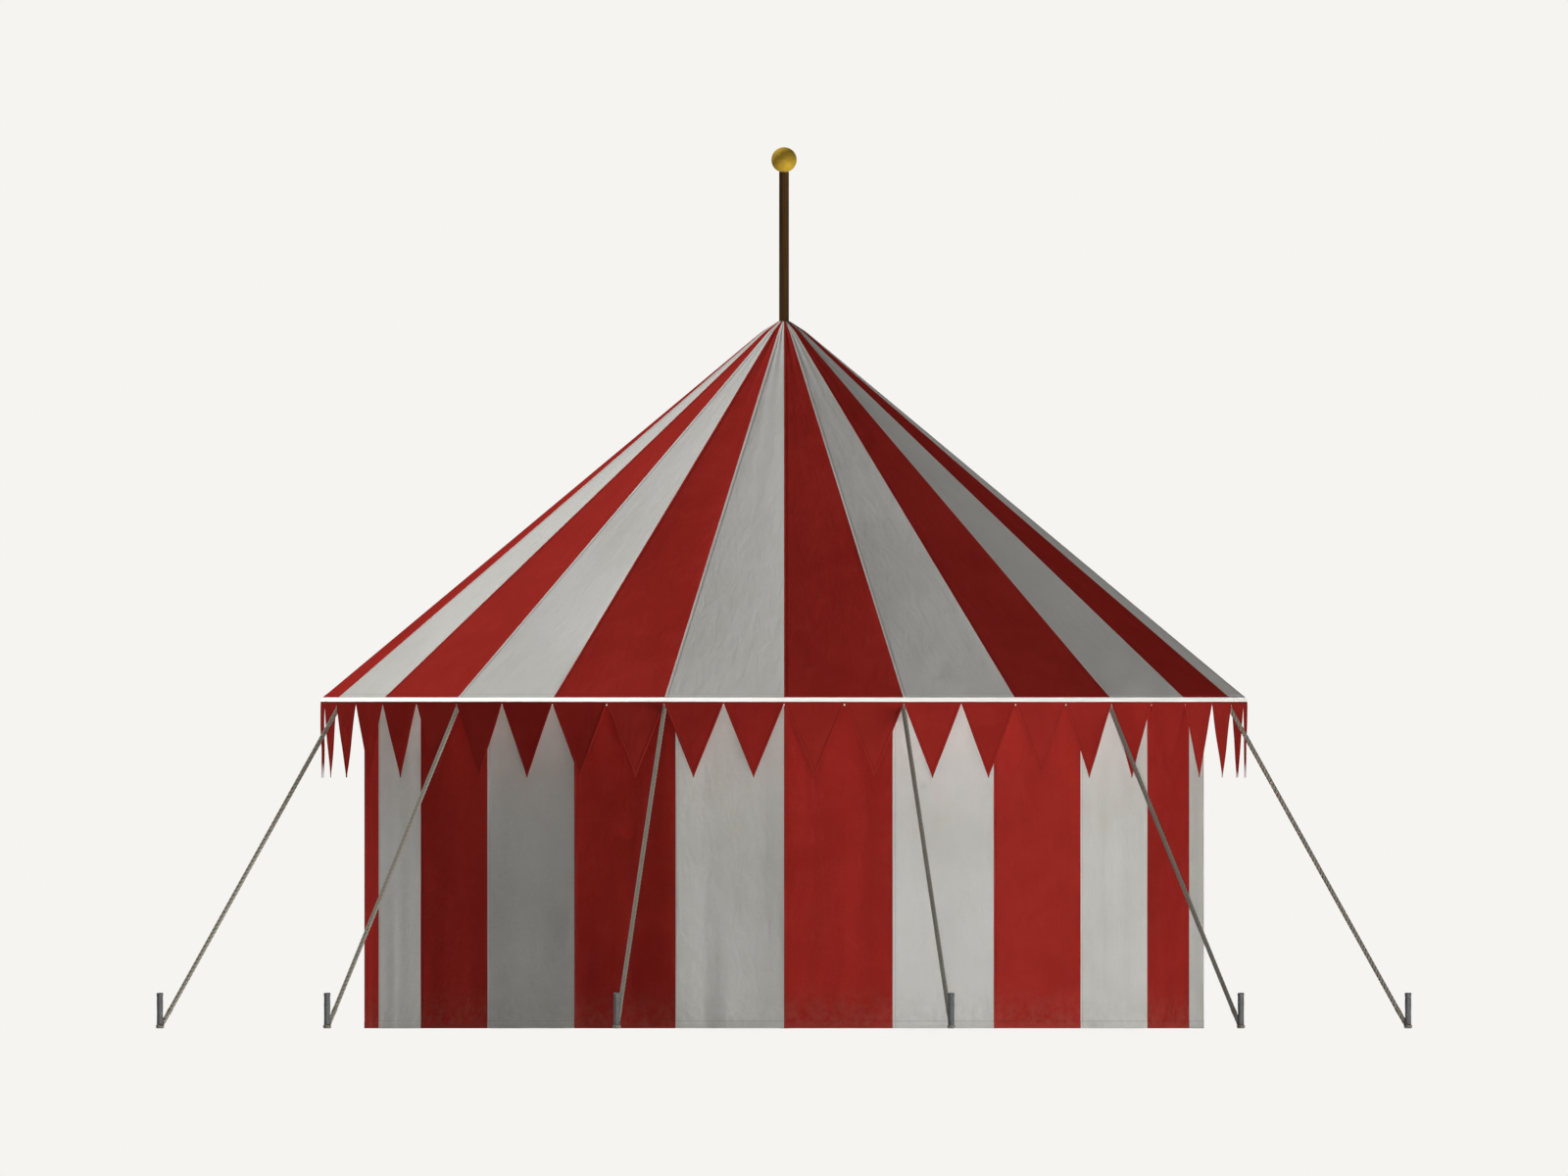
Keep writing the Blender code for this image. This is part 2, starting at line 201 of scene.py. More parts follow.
def canvas_material(name, colour, dark, pale, thread, glow, shine, dirt=0.0, seams=True, hem=None):
    """Heavy woven canvas. UV map 'cloth' is metres across and along the cloth, and
    'edges' holds metres from the seam or side edge and metres from the lower hem."""
    m = Nodes(name)
    cloth = m.uv("cloth")
    u, v, _ = m.xyz(cloth)
    d, e, _ = m.xyz(m.uv("edges"))
    obj = m.obj()

    # plain weave, about 11 threads to the centimetre each way
    wu = m.math("SINE", m.math("MULTIPLY", u, 2 * math.pi * 550))
    wv = m.math("SINE", m.math("MULTIPLY", v, 2 * math.pi * 550))
    weave = m.math("MULTIPLY", wu, wv)
    # slubs: thicker threads that run along and across
    slub_v = m.noise(m.scaled(cloth, (620.0, 9.0, 1.0)), 1.0, 1.0)
    slub_u = m.noise(m.scaled(cloth, (7.0, 560.0, 1.0)), 1.0, 1.0)
    slub = m.math("MULTIPLY", m.math("ADD", slub_u, slub_v), 0.5)
    # broad and middling unevenness of the dye, and weathering that runs down
    broad = m.noise(obj, 1.1, 3.0, 0.55)
    middle = m.noise(obj, 7.0, 4.0, 0.6)
    run = m.noise(m.scaled(cloth, (16.0, 0.9, 1.0)), 1.0, 3.0, 0.6)

    tone = m.mix(m.range(broad, 0.35, 0.66), rgb(*dark), rgb(*colour))
    tone = m.mix(m.math("MULTIPLY", m.range(middle, 0.42, 0.75), 0.30), tone, rgb(*pale))
    tone = m.mix(m.math("MULTIPLY", m.range(run, 0.56, 0.80), 0.22), tone, rgb(*dark))
    tone = m.mix(m.math("MULTIPLY", m.range(slub, 0.42, 0.62), 0.22), tone, rgb(*dark))
    # each panel was cut from its own bolt
    lot = m.attribute("lot")
    tone = m.mix(m.math("MULTIPLY", lot, 0.35), tone, rgb(*pale))

    grey = rgb(0.33, 0.28, 0.21)
    shade = m.math("ADD", m.math("MULTIPLY", weave, 0.09), 1.0)
    tone = m.mix(1.0, tone, m.vec(shade, shade, shade), "MULTIPLY")
    height = m.math("MULTIPLY", weave, 0.40)
    height = m.math("ADD", height, m.math("MULTIPLY", slub, 0.9))
    rough = m.range(middle, 0.3, 0.8, 0.80, 0.93, "LINEAR")

    if seams:
        # wear and fading along the ridge of each seam, painted shade along the edge of the seam's doubled cloth, then
        # two rows of stitches with painted shade in the puckers beside them
        ridge = m.range(d, 0.0, 0.030, 1.0, 0.0)
        tone = m.mix(m.math("MULTIPLY", ridge, 0.16), tone, rgb(*pale))
        # painted shade: a dark line along the edge of the felled seam's doubled cloth
        seam_edge_shade = m.range(m.math("ABSOLUTE", m.math("SUBTRACT", d, 0.0185)), 0.0, 0.0028, 1.0, 0.0)
        tone = m.mix(m.math("MULTIPLY", seam_edge_shade, 0.55), tone, rgb(*(c * 0.55 for c in dark)))
        dash = m.math("SINE", m.math("MULTIPLY", v, 2 * math.pi / 0.0056))
        dash = m.range(dash, -0.55, 0.1)
        for at in (0.0035, 0.0150):
            row = m.range(m.math("ABSOLUTE", m.math("SUBTRACT", d, at)), 0.0003, 0.0010, 1.0, 0.0)
            stitch = m.math("MULTIPLY", row, dash)
            pucker_and_shade = m.range(m.math("ABSOLUTE", m.math("SUBTRACT", d, at)), 0.0, 0.0030, 1.0, 0.0)
            # painted shade: the pucker beside each row of stitches is painted darker
            tone = m.mix(m.math("MULTIPLY", pucker_and_shade, 0.25), tone, rgb(*(c * 0.6 for c in dark)))
            tone = m.mix(stitch, tone, rgb(*thread))
            height = m.math("ADD", height, m.math("MULTIPLY", stitch, 1.6))
            height = m.math("SUBTRACT", height, m.math("MULTIPLY", pucker_and_shade, 1.2))
    if hem:
        depth, rows = hem
        # painted shade: a dark line along the fold of the hem
        fold = m.range(m.math("ABSOLUTE", m.math("SUBTRACT", e, depth)), 0.0, 0.0028, 1.0, 0.0)
        tone = m.mix(m.math("MULTIPLY", fold, 0.55), tone, rgb(*(c * 0.55 for c in dark)))
        dash = m.math("SINE", m.math("MULTIPLY", u, 2 * math.pi / 0.0056))
        dash = m.range(dash, -0.55, 0.1)
        for at in rows:
            off = m.math("ABSOLUTE", m.math("SUBTRACT", e, at))
            stitch = m.math("MULTIPLY", m.range(off, 0.0003, 0.0010, 1.0, 0.0), dash)
            pucker_and_shade = m.range(off, 0.0, 0.0030, 1.0, 0.0)
            # painted shade: the pucker beside each row of stitches is painted darker
            tone = m.mix(m.math("MULTIPLY", pucker_and_shade, 0.25), tone, rgb(*(c * 0.6 for c in dark)))
            tone = m.mix(stitch, tone, rgb(*thread))
            height = m.math("ADD", height, m.math("MULTIPLY", stitch, 1.6))
            height = m.math("SUBTRACT", height, m.math("MULTIPLY", pucker_and_shade, 1.2))
    if dirt:
        # splashes of soil, thickest at the ground
        soil = m.noise(obj, 21.0, 5.0, 0.62)
        low = m.math("MULTIPLY", m.range(e, 0.0, 0.30, 1.0, 0.0), m.range(soil, 0.30, 0.68))
        foot = m.range(e, 0.0, 0.055, 0.8, 0.0)
        mask = m.math("MULTIPLY", m.math("MAXIMUM", low, foot), dirt, clamp=True)
        tone = m.mix(mask, tone, grey)

    m.put(tone, m.bsdf.inputs["Base Color"])
    m.put(rough, m.bsdf.inputs["Roughness"])
    m.bsdf.inputs["Specular IOR Level"].default_value = shine
    m.bsdf.inputs["Sheen Weight"].default_value = 0.06
    m.bsdf.inputs["Sheen Roughness"].default_value = 0.6
    m.bsdf.inputs["Sheen Tint"].default_value = rgb(*glow)

    # fine creases that a heavy cloth keeps, then the threads on top of them
    crease = m.noise(m.scaled(cloth, (13.0, 5.0, 1.0)), 1.0, 4.0, 0.55, 0.6)
    crumple = m.noise(obj, 34.0, 3.0, 0.5)
    n = m.bump(crease, 0.0060)
    n = m.bump(crumple, 0.0011, n)
    n = m.bump(height, 0.00032, n)
    m.link(n, m.bsdf.inputs["Normal"])
    return m.mat


def tape_material():
    m = Nodes("eave_tape")
    cloth = m.uv("cloth")
    u, v, _ = m.xyz(cloth)
    twill = m.math("SINE", m.math("MULTIPLY", m.math("ADD", u, v), 2 * math.pi * 420))
    broad = m.noise(m.scaled(cloth, (2.6, 30.0, 1.0)), 1.0, 3.0, 0.6)
    fine = m.noise(m.scaled(cloth, (300.0, 40.0, 1.0)), 1.0, 2.0)
    tone = m.mix(m.range(broad, 0.35, 0.72), rgb(0.90, 0.885, 0.845), rgb(0.845, 0.825, 0.775))
    tone = m.mix(m.math("MULTIPLY", fine, 0.14), tone, rgb(0.74, 0.71, 0.64))
    dash = m.range(m.math("SINE", m.math("MULTIPLY", u, 2 * math.pi / 0.006)), -0.5, 0.1)
    height = m.math("MULTIPLY", twill, 0.35)
    for at in (0.0035, 0.0225):
        off = m.math("ABSOLUTE", m.math("SUBTRACT", v, at))
        stitch = m.math("MULTIPLY", m.range(off, 0.0004, 0.0011, 1.0, 0.0), dash)
        pucker_and_shade = m.range(off, 0.0, 0.0026, 1.0, 0.0)
        # painted shade: the pucker beside each row of stitches is painted darker
        tone = m.mix(m.math("MULTIPLY", pucker_and_shade, 0.30), tone, rgb(0.45, 0.42, 0.36))
        tone = m.mix(stitch, tone, rgb(0.86, 0.83, 0.76))
        height = m.math("ADD", height, m.math("SUBTRACT", m.math("MULTIPLY", stitch, 1.6),
                                              m.math("MULTIPLY", pucker_and_shade, 1.2)))
    m.put(tone, m.bsdf.inputs["Base Color"])
    m.put(m.range(fine, 0.3, 0.8, 0.74, 0.88, "LINEAR"), m.bsdf.inputs["Roughness"])
    m.bsdf.inputs["Specular IOR Level"].default_value = 0.08
    m.bsdf.inputs["Sheen Weight"].default_value = 0.05
    m.link(m.bump(height, 0.00035), m.bsdf.inputs["Normal"])
    return m.mat


def rope_material(name, light, mid, dark, across=11.0, along=330.0):
    """Laid natural fibre. UV 'cloth' is the place across a strand and metres along the
    rope. The yarns lie nearly along the rope, as they do in one that is laid up."""
    m = Nodes(name)
    cloth = m.uv("cloth")
    u, v, _ = m.xyz(cloth)
    obj = m.obj()
    lay = m.math("ADD", m.math("MULTIPLY", u, across), m.math("MULTIPLY", v, along))
    yarn = m.math("SINE", m.math("MULTIPLY", lay, 2 * math.pi))
    hair = m.noise(m.scaled(m.vec(lay, v, 0.0), (4.0, 34.0, 1.0)), 1.0, 3.0, 0.6)
    patch = m.noise(obj, 9.0, 3.0, 0.6)
    tone = m.mix(m.range(hair, 0.3, 0.72), rgb(*dark), rgb(*mid))
    tone = m.mix(m.math("MULTIPLY", m.range(yarn, -0.6, 0.9), 0.40), tone, rgb(*light))
    tone = m.mix(m.math("MULTIPLY", m.range(patch, 0.45, 0.75), 0.30), tone, rgb(*dark))
    # painted shade: the grooves between the strands are painted darker
    groove_shade = m.attribute("groove_shade")
    tone = m.mix(m.math("MULTIPLY", groove_shade, 0.60), tone, rgb(*(c * 0.45 for c in dark)))
    m.put(tone, m.bsdf.inputs["Base Color"])
    m.put(m.range(hair, 0.2, 0.8, 0.82, 0.96, "LINEAR"), m.bsdf.inputs["Roughness"])
    m.bsdf.inputs["Specular IOR Level"].default_value = 0.10
    m.bsdf.inputs["Sheen Weight"].default_value = 0.06
    height = m.math("ADD", m.math("MULTIPLY", yarn, 0.5), m.math("MULTIPLY", hair, 0.9))
    m.link(m.bump(height, 0.00034), m.bsdf.inputs["Normal"])
    return m.mat


def wood_material():
    m = Nodes("pole_wood")
    obj = m.obj()
    x, y, z = m.xyz(obj)
    # long grain, wandering slowly round the pole, with darker late wood
    wander = m.noise(m.scaled(obj, (3.0, 3.0, 0.55)), 1.0, 2.0)
    warped = m.vec(m.math("ADD", x, m.math("MULTIPLY", wander, 0.035)),
                   m.math("ADD", y, m.math("MULTIPLY", wander, 0.025)), z)
    grain = m.noise(m.scaled(warped, (210.0, 210.0, 2.6)), 1.0, 4.0, 0.6)
    bands = m.noise(m.scaled(warped, (46.0, 46.0, 0.8)), 1.0, 2.0, 0.5)
    pores = m.noise(m.scaled(warped, (900.0, 900.0, 22.0)), 1.0, 2.0)
    blot = m.noise(m.scaled(obj, (6.0, 6.0, 2.0)), 1.0, 3.0, 0.6)
    tone = m.mix(m.range(grain, 0.34, 0.68), rgb(0.100, 0.047, 0.015), rgb(0.190, 0.098, 0.034))
    tone = m.mix(m.math("MULTIPLY", m.range(bands, 0.45, 0.64), 0.55), tone, rgb(0.076, 0.035, 0.011))
    tone = m.mix(m.math("MULTIPLY", m.range(pores, 0.56, 0.70), 0.5), tone, rgb(0.035, 0.016, 0.005))
    tone = m.mix(m.math("MULTIPLY", m.range(blot, 0.50, 0.80), 0.35), tone, rgb(0.225, 0.122, 0.045))
    # painted light: the wood is painted paler lower down, near the roof, to make up for the shade that the roof casts
    # on the pole
    pale = m.range(z, 4.95, 4.25)
    tone = m.mix(m.math("MULTIPLY", pale, 0.28), tone, rgb(0.290, 0.165, 0.062))
    m.put(tone, m.bsdf.inputs["Base Color"])
    m.put(m.range(grain, 0.3, 0.7, 0.50, 0.68, "LINEAR"), m.bsdf.inputs["Roughness"])
    m.bsdf.inputs["Specular IOR Level"].default_value = 0.05
    height = m.math("SUBTRACT", m.math("MULTIPLY", grain, 0.7), m.math("MULTIPLY", m.range(pores, 0.56, 0.70), 0.6))
    m.link(m.bump(height, 0.0006), m.bsdf.inputs["Normal"])
    return m.mat


def gilt_material():
    m = Nodes("gilt")
    obj = m.obj()
    beaten = m.node("TexVoronoi", feature="SMOOTH_F1")
    m.link(obj, beaten.inputs["Vector"])
    beaten.inputs["Scale"].default_value = 62.0
    beaten.inputs["Smoothness"].default_value = 0.9
    worn = m.noise(obj, 26.0, 5.0, 0.65)
    leaf = m.noise(obj, 90.0, 3.0, 0.6)
    tone = m.mix(m.range(leaf, 0.35, 0.7), rgb(0.86, 0.565, 0.055), rgb(0.96, 0.650, 0.085))
    tone = m.mix(m.math("MULTIPLY", m.range(worn, 0.60, 0.78), 0.45), tone, rgb(0.50, 0.290, 0.045))
    # painted shade: the upper half is painted a darker, duller gold, the shade of a light from below; the lower half
    # stays bright
    height = m.math("ADD", m.xyz(obj)[2], m.math("MULTIPLY", m.math("SUBTRACT", worn, 0.5), 0.05))
    top_shade = m.range(height, BALL_Z - 0.050, BALL_Z + 0.030)
    tone = m.mix(m.math("MULTIPLY", top_shade, 0.75), tone, rgb(0.56, 0.355, 0.045))
    m.put(tone, m.bsdf.inputs["Base Color"])
    m.bsdf.inputs["Metallic"].default_value = 0.18
    m.bsdf.inputs["Specular IOR Level"].default_value = 0.03
    m.put(m.range(worn, 0.3, 0.75, 0.64, 0.80, "LINEAR"), m.bsdf.inputs["Roughness"])
    n = m.bump(beaten.outputs["Distance"], 0.0016)
    n = m.bump(leaf, 0.0002, n)
    m.link(n, m.bsdf.inputs["Normal"])
    return m.mat


def iron_material():
    m = Nodes("iron")
    obj = m.obj()
    x, y, z = m.xyz(obj)
    scale = m.noise(obj, 60.0, 5.0, 0.65)
    beat = m.noise(m.scaled(obj, (38.0, 38.0, 20.0)), 1.0, 2.0)
    rust = m.noise(obj, 24.0, 5.0, 0.7)
    tone = m.mix(m.range(scale, 0.35, 0.68), rgb(0.196, 0.205, 0.205), rgb(0.284, 0.292, 0.290))
    rusty = m.math("MULTIPLY", m.range(rust, 0.54, 0.68), 0.55)
    low = m.math("MULTIPLY", m.range(z, 0.0, 0.045, 0.60, 0.0), m.range(rust, 0.30, 0.62))
    rusty = m.math("MAXIMUM", rusty, low)
    tone = m.mix(rusty, tone, rgb(0.150, 0.098, 0.068))
    worn = m.range(z, 0.203, 0.2125)
    tone = m.mix(m.math("MULTIPLY", worn, 0.55), tone, rgb(0.345, 0.352, 0.349))
    m.put(tone, m.bsdf.inputs["Base Color"])
    m.put(m.range(rusty, 0.0, 0.5, 0.35, 0.05, "LINEAR"), m.bsdf.inputs["Metallic"])
    m.bsdf.inputs["Specular IOR Level"].default_value = 0.25
    m.put(m.range(scale, 0.3, 0.7, 0.48, 0.70, "LINEAR"), m.bsdf.inputs["Roughness"])
    n = m.bump(beat, 0.0025)
    n = m.bump(scale, 0.0007, n)
    m.link(n, m.bsdf.inputs["Normal"])
    return m.mat


RED = dict(colour=(0.493, 0.034, 0.026), dark=(0.411, 0.026, 0.020),
           pale=(0.571, 0.051, 0.039), thread=(0.480, 0.045, 0.035), glow=(0.80, 0.06, 0.045), shine=0.0)
WHITE = dict(colour=(0.885, 0.868, 0.820), dark=(0.800, 0.775, 0.715),
             pale=(0.930, 0.918, 0.882), thread=(0.800, 0.770, 0.700), glow=(0.95, 0.94, 0.90), shine=0.02)
roof_red = canvas_material("roof_red_canvas", hem=(0.030, (0.006, 0.024)), **RED)
roof_white = canvas_material("roof_white_canvas", hem=(0.030, (0.006, 0.024)), **WHITE)
wall_red = canvas_material("wall_red_canvas", dirt=0.15, hem=(0.045, (0.006, 0.039)), **RED)
wall_white = canvas_material("wall_white_canvas", dirt=0.16, hem=(0.045, (0.006, 0.039)), **WHITE)
valance_red = canvas_material("valance_red_canvas", seams=True, **RED)
tape = tape_material()
rope_mat = rope_material("rope_fibre", (0.655, 0.614, 0.514), (0.560, 0.520, 0.430), (0.430, 0.393, 0.314))
twine_mat = rope_material("twine", (0.600, 0.555, 0.455), (0.480, 0.440, 0.352), (0.360, 0.322, 0.248),
                          across=3.0, along=420.0)
wood = wood_material()
gilt = gilt_material()
iron = iron_material()


# ---------------------------------------------------------------------------
# Mesh helpers
# ---------------------------------------------------------------------------
def build(name, verts, faces, mats, uvs=None, edges=None, index=None, lots=None, groove_shade=None):
    """A mesh object from arrays. uvs and edges hold one list of corner values a face."""
    me = bpy.data.meshes.new(name)
    me.from_pydata([tuple(map(float, v)) for v in verts], [], [tuple(map(int, f)) for f in faces])
    if uvs is not None:
        layer = me.uv_layers.new(name="cloth")
        layer.data.foreach_set("uv", np.asarray([c for f in uvs for c in f], np.float32).ravel())
    if edges is not None:
        layer = me.uv_layers.new(name="edges")
        layer.data.foreach_set("uv", np.asarray([c for f in edges for c in f], np.float32).ravel())
    if index is not None:
        me.polygons.foreach_set("material_index", np.asarray(index, np.int32))
    if lots is not None:
        a = me.attributes.new("lot", "FLOAT", "FACE")
        a.data.foreach_set("value", np.asarray(lots, np.float32))
    if groove_shade is not None:
        a = me.attributes.new("groove_shade", "FLOAT", "POINT")
        a.data.foreach_set("value", np.asarray(groove_shade, np.float32))
    for mt in mats:
        me.materials.append(mt)
    me.shade_smooth()
    me.update()
    ob = bpy.data.objects.new(name, me)
    bpy.context.scene.collection.objects.link(ob)
    return ob


def solid_cloth(ob, thickness):
    s = ob.modifiers.new("thickness", "SOLIDIFY")
    s.thickness = thickness
    s.offset = -1.0
    s.use_even_offset = True
    s.use_quality_normals = True
    return ob


def ring_of_panels(name, seam, inside, rows, mats, lots, thickness):
    """One continuous closed sheet of PANELS strips. seam(k) gives the points of seam
    line k, and inside(k) the points between seams k and k+1, with their UVs."""
    seams = [seam(k) for k in range(PANELS)]
    verts = [p for s in seams for p in s]
    first = [k * rows for k in range(PANELS)]
    faces, uvs, edges, index, lot = [], [], [], [], []
    for k in range(PANELS):
        pts, cloth, edge = inside(k)            # pts: rows x cols, cloth and edge: rows x (cols + 2)
        cols = pts.shape[1]
        start = len(verts)
        verts.extend(pts.reshape(-1, 3))
        nxt = (k + 1) % PANELS

        def vert(r, c):
            if c == 0:
                return first[k] + r
            if c == cols + 1:
                return first[nxt] + r
            return start + r * cols + c - 1

        for r in range(rows - 1):
            for c in range(cols + 1):
                quad = ((r, c), (r, c + 1), (r + 1, c + 1), (r + 1, c))
                faces.append([vert(*q) for q in quad])
                uvs.append([cloth[q] for q in quad])
                edges.append([edge[q] for q in quad])
                index.append(k % 2)
                lot.append(lots[k])
    ob = build(name, verts, faces, mats, uvs, edges, index, lot)
    return solid_cloth(ob, thickness)


def facing_out(ob):
    """Turns the faces of an open round sheet outwards."""
    me = ob.data
    p = max(me.polygons, key=lambda q: q.area)
    c = Vector(p.center)
    if p.normal.dot(Vector((c.x, c.y, 0.35 * abs(c.x) + 0.01))) < 0:
        me.flip_normals()


rng = np.random.RandomState(11)
LOT = rng.rand(PANELS)
SAG = 0.75 + 0.5 * rng.rand(PANELS)
PHASE = rng.rand(PANELS, 6) * 2 * math.pi

# ---------------------------------------------------------------------------
# Roof: one continuous canopy, tight along its seams and a little slack between
# ---------------------------------------------------------------------------
TILT = math.atan(1 / 1.2 / math.cos(math.radians(STEP / 2)))
half_w = math.sin(math.radians(STEP / 2))


def roof_normal(angle):
    a = math.radians(angle)
    return np.array((math.sin(TILT) * math.sin(a), -math.sin(TILT) * math.cos(a), math.cos(TILT)))


def roof_rows():
    t = np.linspace(0.0, 1.0, 64)
    t = t ** 1.12
    r = PEAK_R + (EAVE_R - PEAK_R) * t
    near = EAVE_R - np.array((0.030, 0.0265, 0.0235, 0.008, 0.003)) * 0.768
    r = np.unique(np.concatenate([ROLL_R[:-1], r[r < near[0] - 0.01], near, [EAVE_R]]))
    return r


ROOF_R = roof_rows()
SLANT = math.hypot(1.0, math.cos(math.radians(STEP / 2)) * 0 + 1 / 1.2)


def roof_edge_distance(r):
    return (EAVE_R - r) * SLANT


def taut_edge(e):
    """Nothing sags at the eave, where the tape is sewn on and holds the edge straight."""
    return smooth(0.0, 0.13, e)


def roof_seam(k):
    angle = k * STEP
    base = np.array([ring(r, angle, roof_z(r)) for r in ROOF_R])
    n = roof_normal(angle)
    wob = 0.0012 * noise2(ROOF_R * 2.3, 7.7 * k + 0.5, 3) * smooth(0.1, 0.6, ROOF_R)
    wob = wob * taut_edge(roof_edge_distance(ROOF_R))
    hem = 0.0009 * (roof_edge_distance(ROOF_R) < 0.0235)
    return base + (wob + hem)[:, None] * n


def strip_columns(width, strip, inner):
    """Places across a panel, in metres from its first seam: the felled seam, then the rest."""
    s = np.minimum(strip, 0.30 * width)
    cols = [0.085 * s, 0.93 * s, 1.06 * s]
    start, end = 1.25 * s, width - 0.10 * s
    for i in range(inner + 1):
        cols.append(start + (end - start) * i / inner)
    return np.stack(cols, axis=-1)          # rows x cols


def roof_lift(k, d, width, r):
    """How far the cloth of panel k stands off its flat facet, d metres from its first seam."""
    s = d / width
    e = roof_edge_distance(r)
    t = np.maximum(0.0, (r - PEAK_R) / (EAVE_R - PEAK_R))
    belly = 4 * s * (1 - s)
    h = -0.013 * SAG[k] * belly * t ** 0.75 * (1 - 0.75 * smooth(0.86, 1.0, t))
    # slack that gathers into long soft folds up and down the panel
    h = h + 0.0022 * belly ** 0.7 * noise2(s * 3.4 + 9.1 * k, r * 1.15 + 3.3, 5) * smooth(0.2, 0.9, r)
    h = h + 0.0010 * belly ** 0.5 * noise2(s * 8.0 + 4.3 * k, r * 2.6 + 1.7, 6) * smooth(0.2, 0.7, r)
    # pull towards the guy ropes, which hold every other seam
    across = d if k % 2 == 1 else width - d
    away = np.hypot(across, e) + 1e-6
    fan = np.arctan2(across, e + 1e-6)
    pull = np.sin(fan * 11.0 + PHASE[k, 0]) * np.exp(-((away - 0.22) / 0.34) ** 2)
    h = h + 0.0024 * pull * smooth(0.03, 0.18, away) * np.minimum(1.0, belly * 2.2)
    h = h + 0.0016 * np.exp(-((across - 0.055 - 0.25 * e) / 0.030) ** 2) * smooth(0.9, 0.1, e)
    # pleats where the cloth is drawn in round the pole
    h = h + 0.0022 * np.sin(s * 4 * math.pi + PHASE[k, 2]) * belly ** 0.5 * smooth(0.75, 0.12, r) * smooth(0.04, 0.12, r)
    h = h * taut_edge(e)
    # the eave's hem and the doubled cloth of the felled seam
    h = h + 0.0009 * (e < 0.0235)
    first = np.minimum(0.018, 0.30 * width)
    raised = ((d > 0.05 * first) & (d < 0.98 * first)).astype(float)
    return h + 0.0014 * raised * smooth(0.04, 0.25, r)


def roof_inside(k):
    a0, a1 = k * STEP, (k + 1) * STEP
    p0 = np.array([ring(r, a0, roof_z(r)) for r in ROOF_R])
    p1 = np.array([ring(r, a1, roof_z(r)) for r in ROOF_R])
    width = np.linalg.norm(p1 - p0, axis=1)
    d = strip_columns(width, 0.018, 12)
    s = d / width[:, None]
    pts = p0[:, None] * (1 - s[..., None]) + p1[:, None] * s[..., None]
    n = roof_normal((a0 + a1) / 2)
    h = roof_lift(k, d, width[:, None], ROOF_R[:, None])
    pts = pts + h[..., None] * n
    mid = width[:, None] / 2
    zero = np.zeros((len(ROOF_R), 1))
    dd = np.concatenate([zero, d, width[:, None]], axis=1)
    up = (EAVE_R - ROOF_R)[:, None] * SLANT + 0 * dd
    cloth = np.stack([dd - mid + 0.71 * k, up + 0.37 * k], axis=-1)
    edge = np.stack([dd, up], axis=-1)
    return pts, cloth, edge


roof = ring_of_panels("roof_canopy", roof_seam, roof_inside, len(ROOF_R),
                      (roof_red, roof_white), LOT, 0.0018)
facing_out(roof)

# ---------------------------------------------------------------------------
# Wall: one continuous curtain hung under the roof, with soft upright folds
# ---------------------------------------------------------------------------
WALL_TOP = roof_z(WALL_R) - 0.0060
WALL_Z = np.unique(np.concatenate([
    np.array((0.0008, 0.004, 0.009, 0.036, 0.041, 0.0455, 0.048)),
    0.048 + (WALL_TOP - 0.048) * np.linspace(0.0, 1.0, 46)[1:] ** 0.97]))
FOLD = rng.rand(PANELS, 5)


def under_roof(z, lift, out):
    """Moves the wall's top so that it meets the roof from below, where the roof sags."""
    top = roof_z(WALL_R) + (lift - 0.0032) / math.cos(TILT) - out * math.tan(TILT)
    return z + (top - WALL_TOP) * smooth(1.5, WALL_TOP, z)


def wall_seam(k):
    a = math.radians(k * STEP)
    n = np.array((math.sin(a), -math.cos(a), 0.0))
    w = 0.0015 * noise2(WALL_Z * 1.7, 3.1 * k + 0.4, 8) * smooth(0.0, 0.3, WALL_Z)
    w = w + 0.0010 * (WALL_Z < 0.0415)
    base = np.array([ring(WALL_R, k * STEP, 0.0) for z in WALL_Z])
    base[:, 2] = under_roof(WALL_Z, -0.0012, w)
    return base + w[:, None] * n


